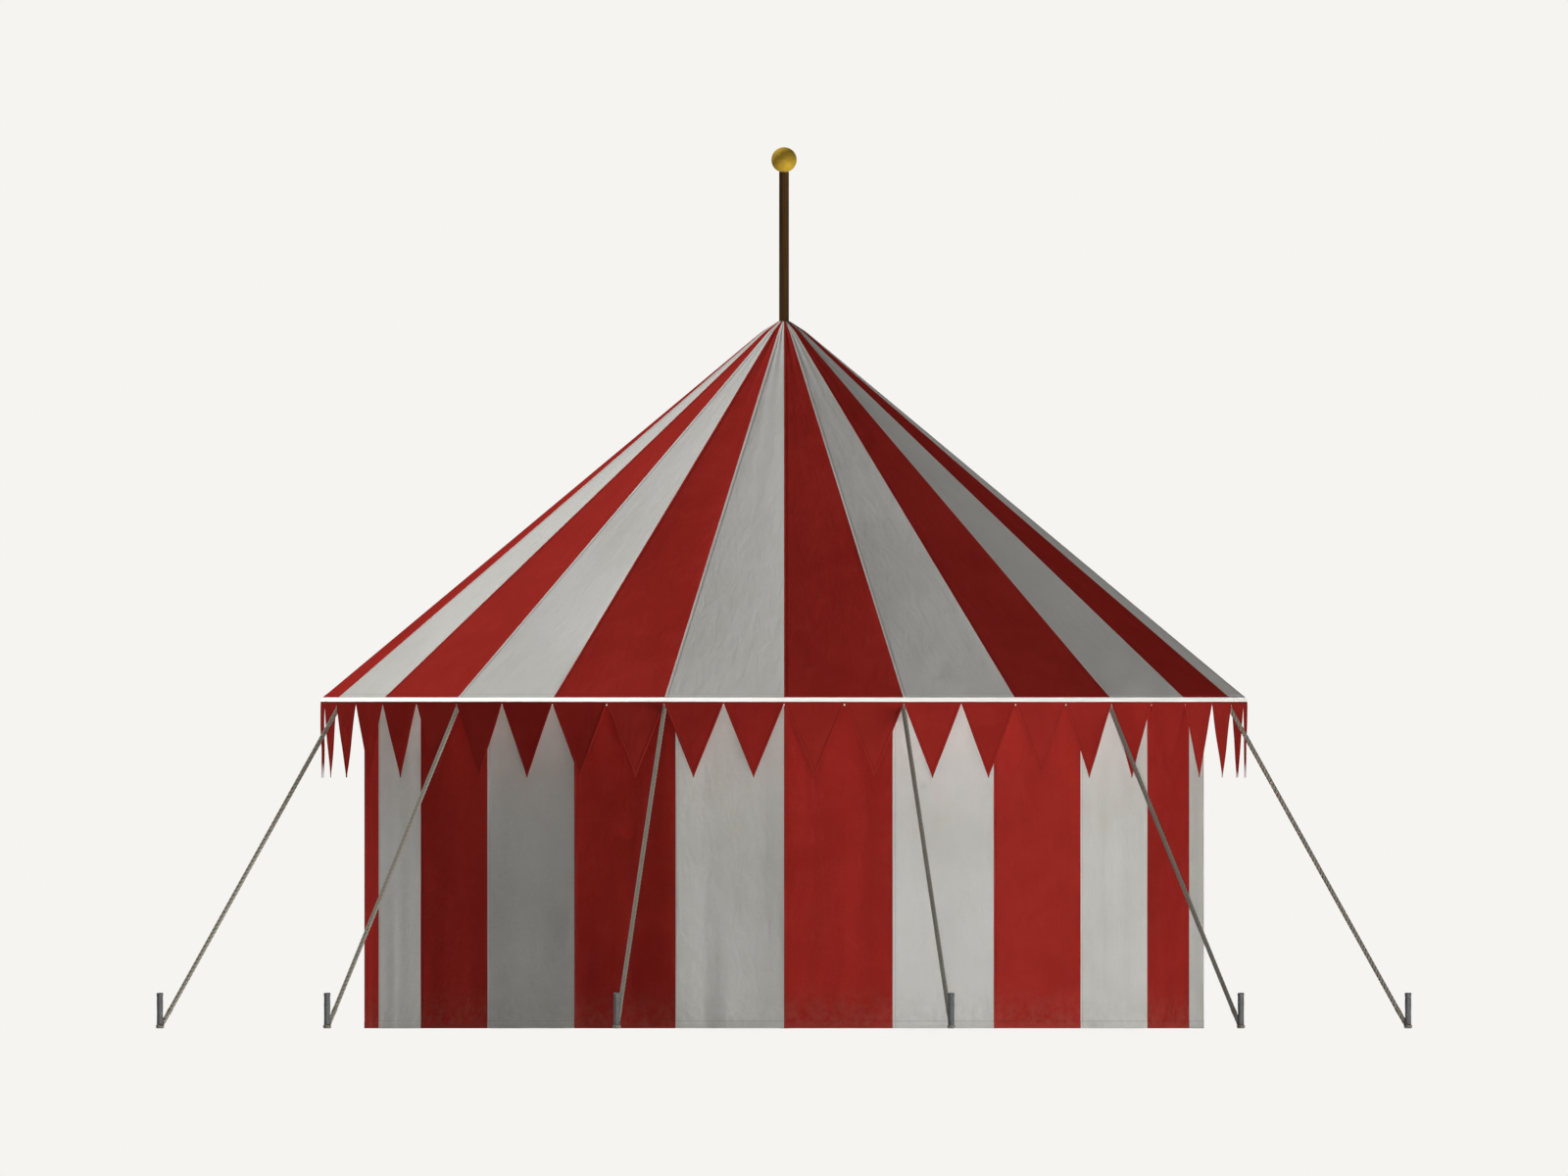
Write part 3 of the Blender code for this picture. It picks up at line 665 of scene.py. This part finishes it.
def wall_inside(k):
    a0, a1 = k * STEP, (k + 1) * STEP
    p0 = np.array([ring(WALL_R, a0, z) for z in WALL_Z])
    p1 = np.array([ring(WALL_R, a1, z) for z in WALL_Z])
    width = np.linalg.norm(p1 - p0, axis=1)
    d = strip_columns(width, 0.018, 14)
    s = d / width[:, None]
    pts = p0[:, None] * (1 - s[..., None]) + p1[:, None] * s[..., None]
    a = math.radians((a0 + a1) / 2)
    n = np.array((math.sin(a), -math.cos(a), 0.0))
    z = WALL_Z[:, None]
    belly = 4 * s * (1 - s)
    f = FOLD[k]
    drift = 0.05 * noise2(z * 0.9, 5.5 * k, 9)
    fold = (np.sin((s + drift) * 2 * math.pi * (1.55 + 0.9 * f[0]) + 6.28 * f[1])
            + 0.55 * np.sin((s - drift) * 2 * math.pi * (3.1 + 1.2 * f[2]) + 6.28 * f[3]))
    amount = 0.0030 + 0.0030 * smooth(0.9, 0.0, z) + 0.0010 * smooth(1.5, 2.1, z)
    h = amount * fold * np.minimum(1.0, belly * 1.6)
    h = h - 0.0050 * belly * np.sin(np.clip(z / WALL_TOP, 0, 1) * math.pi)
    h = h + 0.0016 * belly * noise2(s * 4.0 + 2.2 * k, z * 1.9, 10)
    # cloth that meets the ground buckles a little
    h = h + 0.0045 * belly * noise2(s * 5.0 + 6.1 * k, z * 6.0 + 0.3, 12) * smooth(0.22, 0.0, z)
    h = h + 0.0010 * (z < 0.0415)
    first = np.minimum(0.018, 0.30 * width)[:, None]
    raised = ((d > 0.05 * first) & (d < 0.98 * first)).astype(float)
    h = h + 0.0013 * raised
    lift = roof_lift(k, d[-1], width[-1], WALL_R)
    pts[..., 2] = under_roof(z, lift[None, :], h)
    pts = pts + h[..., None] * n
    dd = np.concatenate([np.zeros((len(WALL_Z), 1)), d, width[:, None]], axis=1)
    up = WALL_Z[:, None] + 0 * dd
    cloth = np.stack([dd + 0.83 * k, up + 0.29 * k], axis=-1)
    edge = np.stack([dd, up], axis=-1)
    return pts, cloth, edge


wall = ring_of_panels("wall_curtain", wall_seam, wall_inside, len(WALL_Z),
                      (wall_red, wall_white), np.roll(LOT, 5), 0.0018)
facing_out(wall)

# ---------------------------------------------------------------------------
# Valance: one sheet of 48 points that hang from an unbroken strip
# ---------------------------------------------------------------------------
DAG = rng.rand(POINTS, 6) * 2 - 1


def valance_sheet():
    step = 360.0 / POINTS
    top_z = VAL_TOP + 0.0035
    down = np.concatenate([[0.0, 1.0], 1.0 + 19.0 * np.linspace(0, 1, 22)[1:]])
    verts, faces, uvs, edges, lots = [], [], [], [], []
    for i in range(POINTS):
        a0, a1 = i * step, (i + 1) * step
        p0, p1 = ring(VAL_R - 0.0010, a0, 0), ring(VAL_R - 0.0010, a1, 0)
        full = np.linalg.norm(p1 - p0)
        am = math.radians((a0 + a1) / 2)
        n = np.array((math.sin(am), -math.cos(am), 0.0))
        c = DAG[i]
        rows = []
        for j, q in enumerate(down):
            if q <= 1.0:
                z, width, f = top_z + (VAL_NOTCH - top_z) * q, full, 0.0
            else:
                f = (q - 1.0) / 19.0
                z, width = VAL_NOTCH + (VAL_TIP - VAL_NOTCH) * f, max(0.004, full * (1 - f))
            hemw = min(0.012, 0.24 * width)
            near = [0.0, 0.12 * hemw, 0.88 * hemw, 1.02 * hemw]
            mid = list(np.linspace(1.35 * hemw, width - 1.35 * hemw, 7))
            at = near + mid + [width - x for x in reversed(near)]
            row = []
            for x in at:
                s = 0.5 + (x - width / 2) / full
                p = p0 * (1 - s) + p1 * s
                side = (x - width / 2) / (full / 2)
                dist = min(x, width - x)
                h = 0.0011 * (0.05 * hemw < dist < 0.95 * hemw) * (f > 0)
                h += 0.005 * c[0] * f ** 1.7
                h += 0.007 * c[1] * side * f ** 1.2
                h += 0.0030 * math.sin(side * 3.3 + 3 * c[2]) * math.sin(f * math.pi * 0.9) * (1 if f > 0 else 0)
                h += 0.0022 * c[3] * math.sin(f * math.pi * 2) * (1 - side ** 2)
                # the point leans a little where the rope comes out beside it
                swing = 0.003 * c[4] * f ** 1.5
                t = (p1 - p0) / full
                row.append(((p + n * h + t * swing + np.array((0, 0, z + 0.002 * c[5] * f))),
                            (x - width / 2 + 0.37 * i, VAL_TOP - z), (dist if f > 0 else 0.05, 1.0)))
            rows.append(row)
        start = len(verts)
        cols = len(rows[0])
        verts.extend(p for row in rows for p, _, _ in row)
        for r in range(len(rows) - 1):
            for k in range(cols - 1):
                quad = ((r, k), (r, k + 1), (r + 1, k + 1), (r + 1, k))
                faces.append([start + a * cols + b for a, b in quad])
                uvs.append([rows[a][b][1] for a, b in quad])
                edges.append([rows[a][b][2] for a, b in quad])
                lots.append(0.35 + 0.35 * c[2])
    ob = build("valance", verts, faces, (valance_red,), uvs, edges, None, lots)
    bm = bmesh.new()
    bm.from_mesh(ob.data)
    bmesh.ops.remove_doubles(bm, verts=bm.verts, dist=1e-5)
    bm.to_mesh(ob.data)
    bm.free()
    ob.data.shade_smooth()
    return solid_cloth(ob, 0.0018)


valance = valance_sheet()
facing_out(valance)


# ---------------------------------------------------------------------------
# Eave band: off-white tape over the edge of the roof and the valance's top
# ---------------------------------------------------------------------------
def eave_tape():
    per = 6
    count = POINTS * per
    verts, faces, uvs, edges = [], [], [], []
    for i in range(count):
        angle = 360.0 * i / count
        f = (angle % STEP) / STEP
        # the roof's edge is straight between seams, and the valance's between points
        r_roof = EAVE_R * math.cos(math.radians(STEP / 2)) / math.cos(math.radians((f - 0.5) * STEP))
        half = 360.0 / POINTS
        g = (angle % half) / half
        r_val = VAL_R * math.cos(math.radians(half / 2)) / math.cos(math.radians((g - 0.5) * half))
        wave = 0.0007 * math.sin(angle * 1.9) + 0.0005 * math.sin(angle * 5.3 + 1)
        # the leg inside hangs lower, but not where a guy rope passes below it
        leg = 0.0170 + 0.0055 * min(1.0, abs((angle % 30.0) - 15.0) / 1.25)
        profile = [
            (r_roof - 0.0060, EAVE_Z + 0.0030), (r_roof - 0.0005, EAVE_Z + 0.0004),
            (r_roof + 0.0022, EAVE_Z - 0.0018),
            (r_roof * 0.70 + r_val * 0.30 + 0.0026, EAVE_Z - 0.0075),
            (r_roof * 0.30 + r_val * 0.70 + 0.0026, EAVE_Z - 0.0165),
            (r_val + 0.0016, VAL_TOP + 0.0030), (r_val + 0.0010, VAL_TOP + 0.0004),
            (r_val - 0.0008, VAL_TOP + 0.0012),
            (r_val - 0.0044, VAL_TOP - 0.0010), (r_val - 0.0046, VAL_TOP - leg),
            (r_val - 0.0062, VAL_TOP - leg - 0.0002), (r_val - 0.0066, VAL_TOP + 0.0020),
            (r_roof * 0.5 + r_val * 0.5 - 0.0070, EAVE_Z - 0.0130), (r_roof - 0.0085, EAVE_Z - 0.0010),
        ]
        for r, z in profile:
            verts.append(ring(r, angle, z + wave * 0.4))
    n = 14
    run = 2 * math.pi * VAL_R / count
    across = np.concatenate([[0.0], np.cumsum([0.0062, 0.0035, 0.0068, 0.0100, 0.0105, 0.0027, 0.002, 0.0042, 0.016, 0.0016, 0.0192, 0.014, 0.014, 0.005])])
    for i in range(count):
        j = (i + 1) % count
        for k in range(n):
            l = (k + 1) % n
            faces.append((i * n + k, j * n + k, j * n + l, i * n + l))
            a0, a1 = across[k] - 0.006, across[k + 1] - 0.006
            uvs.append(((i * run, a0), ((i + 1) * run, a0), ((i + 1) * run, a1), (i * run, a1)))
    ob = build("eave_tape", verts, faces, (tape,), uvs)
    bm = bmesh.new()
    bm.from_mesh(ob.data)
    bmesh.ops.recalc_face_normals(bm, faces=bm.faces)
    bm.to_mesh(ob.data)
    bm.free()
    ob.data.shade_smooth()
    ob.data.set_sharp_from_angle(angle=math.radians(60))
    return ob


band = eave_tape()


# ---------------------------------------------------------------------------
# Guy ropes: three laid strands, held under the roof's edge, out between two
# points of the valance, whipped near both ends and lashed round the stake
# ---------------------------------------------------------------------------
def tube(path, radius, sides, closed=False, turn=0.0):
    """Verts, faces and UVs of a round tube along a path, with ends capped."""
    path = np.asarray(path, float)
    count = len(path)
    radius = np.broadcast_to(np.asarray(radius, float), (count,))
    ahead = np.roll(path, -1, axis=0) - np.roll(path, 1, axis=0)
    if not closed:
        ahead[0], ahead[-1] = path[1] - path[0], path[-1] - path[-2]
    ahead /= np.linalg.norm(ahead, axis=1)[:, None]
    side = np.cross(ahead[0], (0.31, 0.17, 0.93))
    side /= np.linalg.norm(side)
    verts = []
    along = np.concatenate([[0.0], np.cumsum(np.linalg.norm(np.diff(path, axis=0), axis=1))])
    for i in range(count):
        side = side - ahead[i] * side.dot(ahead[i])
        side /= np.linalg.norm(side)
        up = np.cross(ahead[i], side)
        for j in range(sides):
            b = 2 * math.pi * j / sides + turn
            verts.append(path[i] + radius[i] * (math.cos(b) * side + math.sin(b) * up))
    faces, uvs = [], []
    last = count if closed else count - 1
    for i in range(last):
        k = (i + 1) % count
        for j in range(sides):
            l = (j + 1) % sides
            faces.append((i * sides + j, i * sides + l, k * sides + l, k * sides + j))
            v0, v1 = along[i], along[i + 1] if i + 1 < count else along[-1] + 0.002
            u0, u1 = j / sides, (j + 1) / sides
            uvs.append(((u0, v0), (u1, v0), (u1, v1), (u0, v1)))
    if not closed:
        faces.append(tuple(reversed(range(sides))))
        uvs.append([(0.5, 0.0)] * sides)
        faces.append(tuple(range((count - 1) * sides, count * sides)))
        uvs.append([(0.5, along[-1])] * sides)
    return verts, faces, uvs


class Parts:
    def __init__(self):
        self.verts, self.faces, self.uvs, self.index, self.groove_shade = [], [], [], [], []

    def add(self, made, material=0, groove_shade=None):
        verts, faces, uvs = made
        n = len(self.verts)
        self.verts.extend(verts)
        self.faces.extend([tuple(i + n for i in f) for f in faces])
        self.uvs.extend(uvs)
        self.index.extend([material] * len(faces))
        self.groove_shade.extend([0.0] * len(verts) if groove_shade is None else list(groove_shade))


def rope_axes():
    run = (ROPE_FOOT - ROPE_TOP)
    length = run.length
    w = run.normalized()
    u = Vector((1, 0, 0))
    v = w.cross(u).normalized()
    return np.array(ROPE_TOP), np.array(w), np.array(u), np.array(v), length


def guy_rope_mesh():
    top, w, u, v, length = rope_axes()
    pitch = 0.088
    start, end = -0.170, length + 0.035
    rows = int((end - start) / pitch * 15)
    # one closed skin: three strands that fill each other, with a groove between each two
    lobe = np.radians((-60.0, -55.0, -45.0, -30.0, -10.0, 10.0, 30.0, 45.0, 55.0))
    turns = np.concatenate([lobe + k * 2 * math.pi / 3 for k in range(3)])
    inside = np.tile(np.abs(np.degrees(lobe)), 3)
    shape = ROPE_R * (0.775 + 0.245 * np.sin(np.radians(90.0 * (60.0 - inside) / 60.0)) ** 0.52)
    across = np.tile((lobe + math.pi / 3) / (2 * math.pi / 3), 3)
    sides = len(turns)
    verts, faces, uvs, groove_shade = [], [], [], []
    for s in np.linspace(start, end, rows):
        worn = 1.0 + 0.018 * float(noise2(s * 9.0, 0.5, 41))
        for j in range(sides):
            b = turns[j] + 2 * math.pi * s / pitch
            verts.append(top + s * w + shape[j] * worn * (math.cos(b) * u + math.sin(b) * v))
            # how deep in a groove each point lies, for the painted shade there
            groove_shade.append(max(0.0, (inside[j] - 44.0) / 16.0))
    step = (end - start) / (rows - 1)
    for i in range(rows - 1):
        for j in range(sides):
            l = (j + 1) % sides
            faces.append((i * sides + j, i * sides + l, (i + 1) * sides + l, (i + 1) * sides + j))
            u0, v0 = across[j], i * step
            u1 = across[l] if across[l] > across[j] else 1.0
            uvs.append(((u0, v0), (u1, v0), (u1, v0 + step), (u0, v0 + step)))
    faces.append(tuple(reversed(range(sides))))
    uvs.append([(0.5, 0.0)] * sides)
    faces.append(tuple(range((rows - 1) * sides, rows * sides)))
    uvs.append([(0.5, 0.0)] * sides)
    ob = build("rope_strands", verts, faces, (rope_mat, twine_mat), uvs,
               index=[0] * len(faces), groove_shade=groove_shade)
    bm = bmesh.new()
    bm.from_mesh(ob.data)
    under = APEX_Z - 0.0036 / math.cos(TILT)
    for point, out in (((0, -(STAKE_CIRCLE - STAKE_R - 0.0003), 0), (0, -1, 0)),
                       ((0, 0, 0.0012), (0, 0, -1)),
                       ((0, 0, under), tuple(roof_normal(-STEP / 2))),
                       ((0, 0, under), tuple(roof_normal(STEP / 2)))):
        bmesh.ops.bisect_plane(bm, geom=bm.verts[:] + bm.edges[:] + bm.faces[:],
                               plane_co=point, plane_no=out, clear_outer=True)
        bmesh.ops.holes_fill(bm, edges=[e for e in bm.edges if e.is_boundary], sides=0)

    # whippings: waxed twine wound tight round the rope near each end
    extra = Parts()

    def winding(at, turns, r, thick):
        n = turns * 18
        a = np.linspace(0, 2 * math.pi * turns, n)
        q = at + thick * 1.9 * a / (2 * math.pi)
        path = top + np.outer(q, w) + r * (np.outer(np.cos(a), u) + np.outer(np.sin(a), v))
        extra.add(tube(path, thick, 6), 1)

    winding(-0.022, 9, 0.0137, 0.0010)
    winding(length - 0.135, 15, 0.0137, 0.0012)

    # seizing under the roof, behind the valance: turns of cord round the rope's end
    for k in range(3):
        at = -0.0400 + 0.0052 * k
        a = np.linspace(0, 2 * math.pi, 44, endpoint=False)
        lift = 0.0150 + 0.0003 * math.sin(5 * k)
        path = (top + np.outer(at + 0.0012 * np.sin(a), w)
                + lift * (np.outer(np.cos(a), u) - np.outer(np.sin(a), v)))
        extra.add(tube(path, 0.0024, 8, closed=True), 1)

    # three turns of cord round the foot of the stake, over the rope's end
    for k, z in enumerate((0.0060, 0.0112, 0.0164)):
        a = np.linspace(0, 2 * math.pi, 44, endpoint=False)
        r = STAKE_R + 0.0007 + 0.0026
        path = np.stack([r * np.sin(a), -STAKE_CIRCLE - r * np.cos(a),
                         z + 0.0010 * np.sin(a + k)], axis=1)
        extra.add(tube(path, 0.0026, 8, closed=True), 1)
    more = build("rope_more", extra.verts, extra.faces, (rope_mat, twine_mat), extra.uvs,
                 index=extra.index, groove_shade=extra.groove_shade)
    bm.from_mesh(more.data)
    me = bpy.data.meshes.new("guy_rope")
    bmesh.ops.recalc_face_normals(bm, faces=bm.faces)
    bm.to_mesh(me)
    bm.free()
    me.materials.append(rope_mat)
    me.materials.append(twine_mat)
    me.shade_smooth()
    me.set_sharp_from_angle(angle=math.radians(60))
    for o in (ob, more):
        bpy.data.objects.remove(o, do_unlink=True)
    return me


rope_mesh = guy_rope_mesh()


# ---------------------------------------------------------------------------
# Stakes: forged round bar, its head spread by the hammer
# ---------------------------------------------------------------------------
def stake_mesh():
    sides = 40
    levels = [0.0, 0.004] + list(np.linspace(0.012, 0.186, 15)) + [0.194, 0.200, 0.205, 0.2088, 0.2112, 0.2126, 0.2130]
    verts, faces = [], []
    for z in levels:
        if z < 0.19:
            r = STAKE_R - 0.0006 + 0.0004 * math.sin(z * 55.0)
        else:
            f = (z - 0.19) / (STAKE_H - 0.19)
            r = STAKE_R - 0.0004 + 0.0011 * math.sin(min(1.0, f * 1.25) * math.pi * 0.5)
            r -= 0.0048 * max(0.0, (f - 0.80) / 0.20) ** 2.2
        for j in range(sides):
            a = 2 * math.pi * j / sides
            beat = 0.00045 * float(noise2(math.cos(a) * 1.7 + 5, math.sin(a) * 1.7 + z * 34 + 5, 21))
            burr = 0.0006 * float(noise2(math.cos(a) * 3 + 9, math.sin(a) * 3 + 9, 22)) * (0.198 < z < 0.2115)
            verts.append(((r + beat + burr) * math.cos(a), (r + beat + burr) * math.sin(a), z))
    for i in range(len(levels) - 1):
        for j in range(sides):
            l = (j + 1) % sides
            faces.append((i * sides + j, i * sides + l, (i + 1) * sides + l, (i + 1) * sides + j))
    # struck head: inner rings with shallow dents
    last = len(levels) - 1
    prev = last * sides
    for f in (0.72, 0.42, 0.16):
        start = len(verts)
        for j in range(sides):
            a = 2 * math.pi * j / sides
            r = (STAKE_R - 0.0047) * f
            z = STAKE_H - 0.0006 * (1 - f) - 0.0005 * abs(float(noise2(r * math.cos(a) * 190 + 4, r * math.sin(a) * 190 + 4, 23)))
            verts.append((r * math.cos(a), r * math.sin(a), z))
        for j in range(sides):
            l = (j + 1) % sides
            faces.append((prev + j, prev + l, start + l, start + j))
        prev = start
    faces.append(tuple(prev + j for j in range(sides)))
    faces.append(tuple(reversed(range(sides))))
    ob = build("stake_mesh", verts, faces, (iron,))
    me = ob.data
    bpy.data.objects.remove(ob, do_unlink=True)
    me.set_sharp_from_angle(angle=math.radians(55))
    return me


stake = stake_mesh()


# ---------------------------------------------------------------------------
# Ball: two beaten halves joined by a raised seam, on a small collar
# ---------------------------------------------------------------------------
def ball_object():
    sides = 72
    profile = []
    seat = math.acos(BALL_SEAT / BALL_R)
    profile.append((0.0, -BALL_SEAT))
    profile.append((0.0262, -BALL_SEAT))
    profile.append((0.0286, -BALL_SEAT + 0.0010))
    profile.append((0.0292, -BALL_SEAT + 0.0026))
    profile.append((0.0286, -BALL_SEAT + 0.0042))
    for i in range(1, 60):
        b = -math.pi / 2 + seat + (math.pi - seat) * i / 60.0
        r, z = BALL_R * math.cos(b), BALL_R * math.sin(b)
        if z < -BALL_SEAT + 0.0044:
            continue
        bead = 0.0007 * math.exp(-(z / 0.0012) ** 2)
        profile.append(((BALL_R - 0.0006 + bead) * math.cos(b), (BALL_R - 0.0006 + bead) * math.sin(b)))
    extra = [(BALL_R - 0.0006 + 0.0007 * math.exp(-(z / 0.0012) ** 2), z)
             for z in (-0.0024, -0.0016, -0.0008, 0.0, 0.0008, 0.0016, 0.0024)]
    profile = [p for p in profile if abs(p[1]) > 0.0030] + extra
    low = [p for p in profile if p[1] <= -BALL_SEAT + 0.0042]
    high = sorted((p for p in profile if p[1] > -BALL_SEAT + 0.0042), key=lambda p: p[1])
    profile = low + high + [(0.0, BALL_R - 0.0006)]
    verts, rings = [], []
    for r, z in profile:
        if r == 0.0:
            rings.append([len(verts)])
            verts.append((0, 0, z + BALL_Z))
            continue
        row = []
        for j in range(sides):
            a = 2 * math.pi * j / sides
            q = 1.0 + 0.0045 * float(noise2(math.cos(a) * 1.3 + 7, z * 26 + math.sin(a) * 1.3 + 7, 31)) * (abs(z) > 0.004)
            row.append(len(verts))
            verts.append((r * q * math.cos(a), r * q * math.sin(a), z + BALL_Z))
        rings.append(row)
    faces = []
    for low, high in zip(rings[:-1], rings[1:]):
        for j in range(sides):
            l = (j + 1) % sides
            if len(low) == 1:
                faces.append((low[0], high[l], high[j]))
            elif len(high) == 1:
                faces.append((low[j], low[l], high[0]))
            else:
                faces.append((low[j], low[l], high[l], high[j]))
    ob = build("gilt_ball", verts, faces, (gilt,))
    bm = bmesh.new()
    bm.from_mesh(ob.data)
    bmesh.ops.recalc_face_normals(bm, faces=bm.faces)
    bm.to_mesh(ob.data)
    bm.free()
    ob.data.shade_smooth()
    ob.data.set_sharp_from_angle(angle=math.radians(50))
    return ob


ball = ball_object()

# ---------------------------------------------------------------------------
# What each piece rides on, stands for and is finished as
# ---------------------------------------------------------------------------
SECTIONS = ("front", "front_right", "back_right", "back", "back_left", "front_left")
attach(roof, "root")
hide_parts(*["roof_" + s for s in SECTIONS])
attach(wall, "root")
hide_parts(*["wall_" + s for s in SECTIONS])
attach(valance, "root")
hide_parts(*["valance_" + s for s in SECTIONS])
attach(band, "root")
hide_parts("eave_band")
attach(ball, "root")
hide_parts("finial_ball")
for i, angle in enumerate(GUY_ANGLES):
    rope = bpy.data.objects.new("laid_rope_%02d" % (i + 1), rope_mesh)
    bpy.context.scene.collection.objects.link(rope)
    rope.rotation_euler = (0, 0, math.radians(angle))
    bpy.context.view_layer.update()
    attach(rope, "root")
    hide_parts("guy_rope_%02d" % (i + 1))
    bar = bpy.data.objects.new("forged_stake_%02d" % (i + 1), stake)
    bpy.context.scene.collection.objects.link(bar)
    bar.location = ring(STAKE_CIRCLE, angle, 0.0)
    bar.rotation_euler = (0, 0, math.radians(angle * 2.4 + 20))
    bpy.context.view_layer.update()
    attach(bar, "root")
    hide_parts("stake_%02d" % (i + 1))

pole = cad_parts["centre_pole"]
pole.data.materials.clear()
pole.data.materials.append(wood)

# ---------------------------------------------------------------------------
# Floor, light and camera
# ---------------------------------------------------------------------------
BACKDROP = (0.9131, 0.9047, 0.8796)

floor_mat = bpy.data.materials.new("floor")
floor_mat.use_nodes = True
t = floor_mat.node_tree
t.nodes.clear()
out = t.nodes.new("ShaderNodeOutputMaterial")
both = t.nodes.new("ShaderNodeAddShader")
matte = t.nodes.new("ShaderNodeBsdfDiffuse")
matte.inputs["Color"].default_value = (0.56, 0.555, 0.54, 1.0)
glow = t.nodes.new("ShaderNodeEmission")
glow.inputs["Color"].default_value = (*BACKDROP, 1.0)
glow.inputs["Strength"].default_value = 0.6225
t.links.new(matte.outputs[0], both.inputs[0])
t.links.new(glow.outputs[0], both.inputs[1])
t.links.new(both.outputs[0], out.inputs[0])
bpy.ops.mesh.primitive_plane_add(size=160.0, location=(0, 0, 0))
floor = bpy.context.object
floor.name = "studio_floor"
floor.data.materials.append(floor_mat)
floor.visible_shadow = False
floor.visible_diffuse = False
floor.visible_glossy = False

world = bpy.data.worlds.new("studio")
bpy.context.scene.world = world
world.use_nodes = True
t = world.node_tree
t.nodes.clear()
out = t.nodes.new("ShaderNodeOutputWorld")
seen = t.nodes.new("ShaderNodeBackground")
seen.inputs["Color"].default_value = (*BACKDROP, 1.0)
seen.inputs["Strength"].default_value = 1.0
soft = t.nodes.new("ShaderNodeBackground")
soft.inputs["Color"].default_value = (1.0, 1.0, 1.0, 1.0)
soft.inputs["Strength"].default_value = 0.027
shiny = t.nodes.new("ShaderNodeBackground")
shiny.inputs["Color"].default_value = (1.0, 0.99, 0.97, 1.0)
shiny.inputs["Strength"].default_value = 0.22
path = t.nodes.new("ShaderNodeLightPath")
mix_a = t.nodes.new("ShaderNodeMixShader")
mix_b = t.nodes.new("ShaderNodeMixShader")
t.links.new(path.outputs["Is Glossy Ray"], mix_a.inputs[0])
t.links.new(soft.outputs[0], mix_a.inputs[1])
t.links.new(shiny.outputs[0], mix_a.inputs[2])
t.links.new(path.outputs["Is Camera Ray"], mix_b.inputs[0])
t.links.new(mix_a.outputs[0], mix_b.inputs[1])
t.links.new(seen.outputs[0], mix_b.inputs[2])
t.links.new(mix_b.outputs[0], out.inputs[0])


def sun(name, azimuth, elevation, strength, spread, colour=(1, 1, 1)):
    """A soft light from far away, from that azimuth (front towards +X) and elevation."""
    data = bpy.data.lights.new(name, "SUN")
    data.energy = strength
    data.angle = math.radians(spread)
    data.color = colour
    ob = bpy.data.objects.new(name, data)
    bpy.context.scene.collection.objects.link(ob)
    e = math.radians(elevation)
    d = Vector(ring(math.cos(e), azimuth, math.sin(e)))
    ob.location = d * 12
    ob.rotation_mode = "QUATERNION"
    ob.rotation_quaternion = d.to_track_quat("Z", "Y")
    return ob


# The photograph shows no shadow of the roof on the wall, so most of the key light
# reaches the wall as if the roof were not there
shade_all = bpy.data.collections.new("all_but_wall")
shade_all.objects.link(wall)
shade_all.collection_objects[0].light_linking.link_state = "EXCLUDE"
wall_only = bpy.data.collections.new("wall_only")
wall_only.objects.link(wall)
sun("key", -130, 50, 0.48, 20)
key_rest = sun("key_rest", -130, 50, 1.90, 20)
key_rest.light_linking.receiver_collection = shade_all
key_wall = sun("key_wall", -130, 50, 1.90, 20)
key_wall.light_linking.receiver_collection = wall_only
key_wall.light_linking.blocker_collection = wall_only
sun("low_fill", 57, -47, 1.96, 20)
sun("front_fill", 2, 0, 0.63, 20)

# soft lamps for the eave tape alone, which the photograph shows as bright as the backdrop
lit = bpy.data.collections.new("eave_only")
lit.objects.link(band)
for i, az in enumerate((0, 120, 240)):
    lamp = sun("eave_%d" % i, az, 8, 2.7, 60)
    lamp.light_linking.receiver_collection = lit
    lamp.light_linking.blocker_collection = lit

cam_data = bpy.data.cameras.new("camera")
cam_data.type = "ORTHO"
cam_data.ortho_scale = 1600.0 / 171.2
cam_data.clip_start, cam_data.clip_end = 1.0, 100.0
cam_data.dof.use_dof = False
cam = bpy.data.objects.new("camera", cam_data)
bpy.context.scene.collection.objects.link(cam)
cam.location = (0.0, -30.0, 2.6250)
cam.rotation_euler = (math.radians(90), 0, 0)
bpy.context.scene.camera = cam
bpy.context.scene.view_settings.view_transform = "Standard"
bpy.context.scene.view_settings.look = "None"
bpy.context.scene.view_settings.exposure = 0.0
bpy.context.scene.view_settings.gamma = 1.0

bpy.context.view_layer.update()
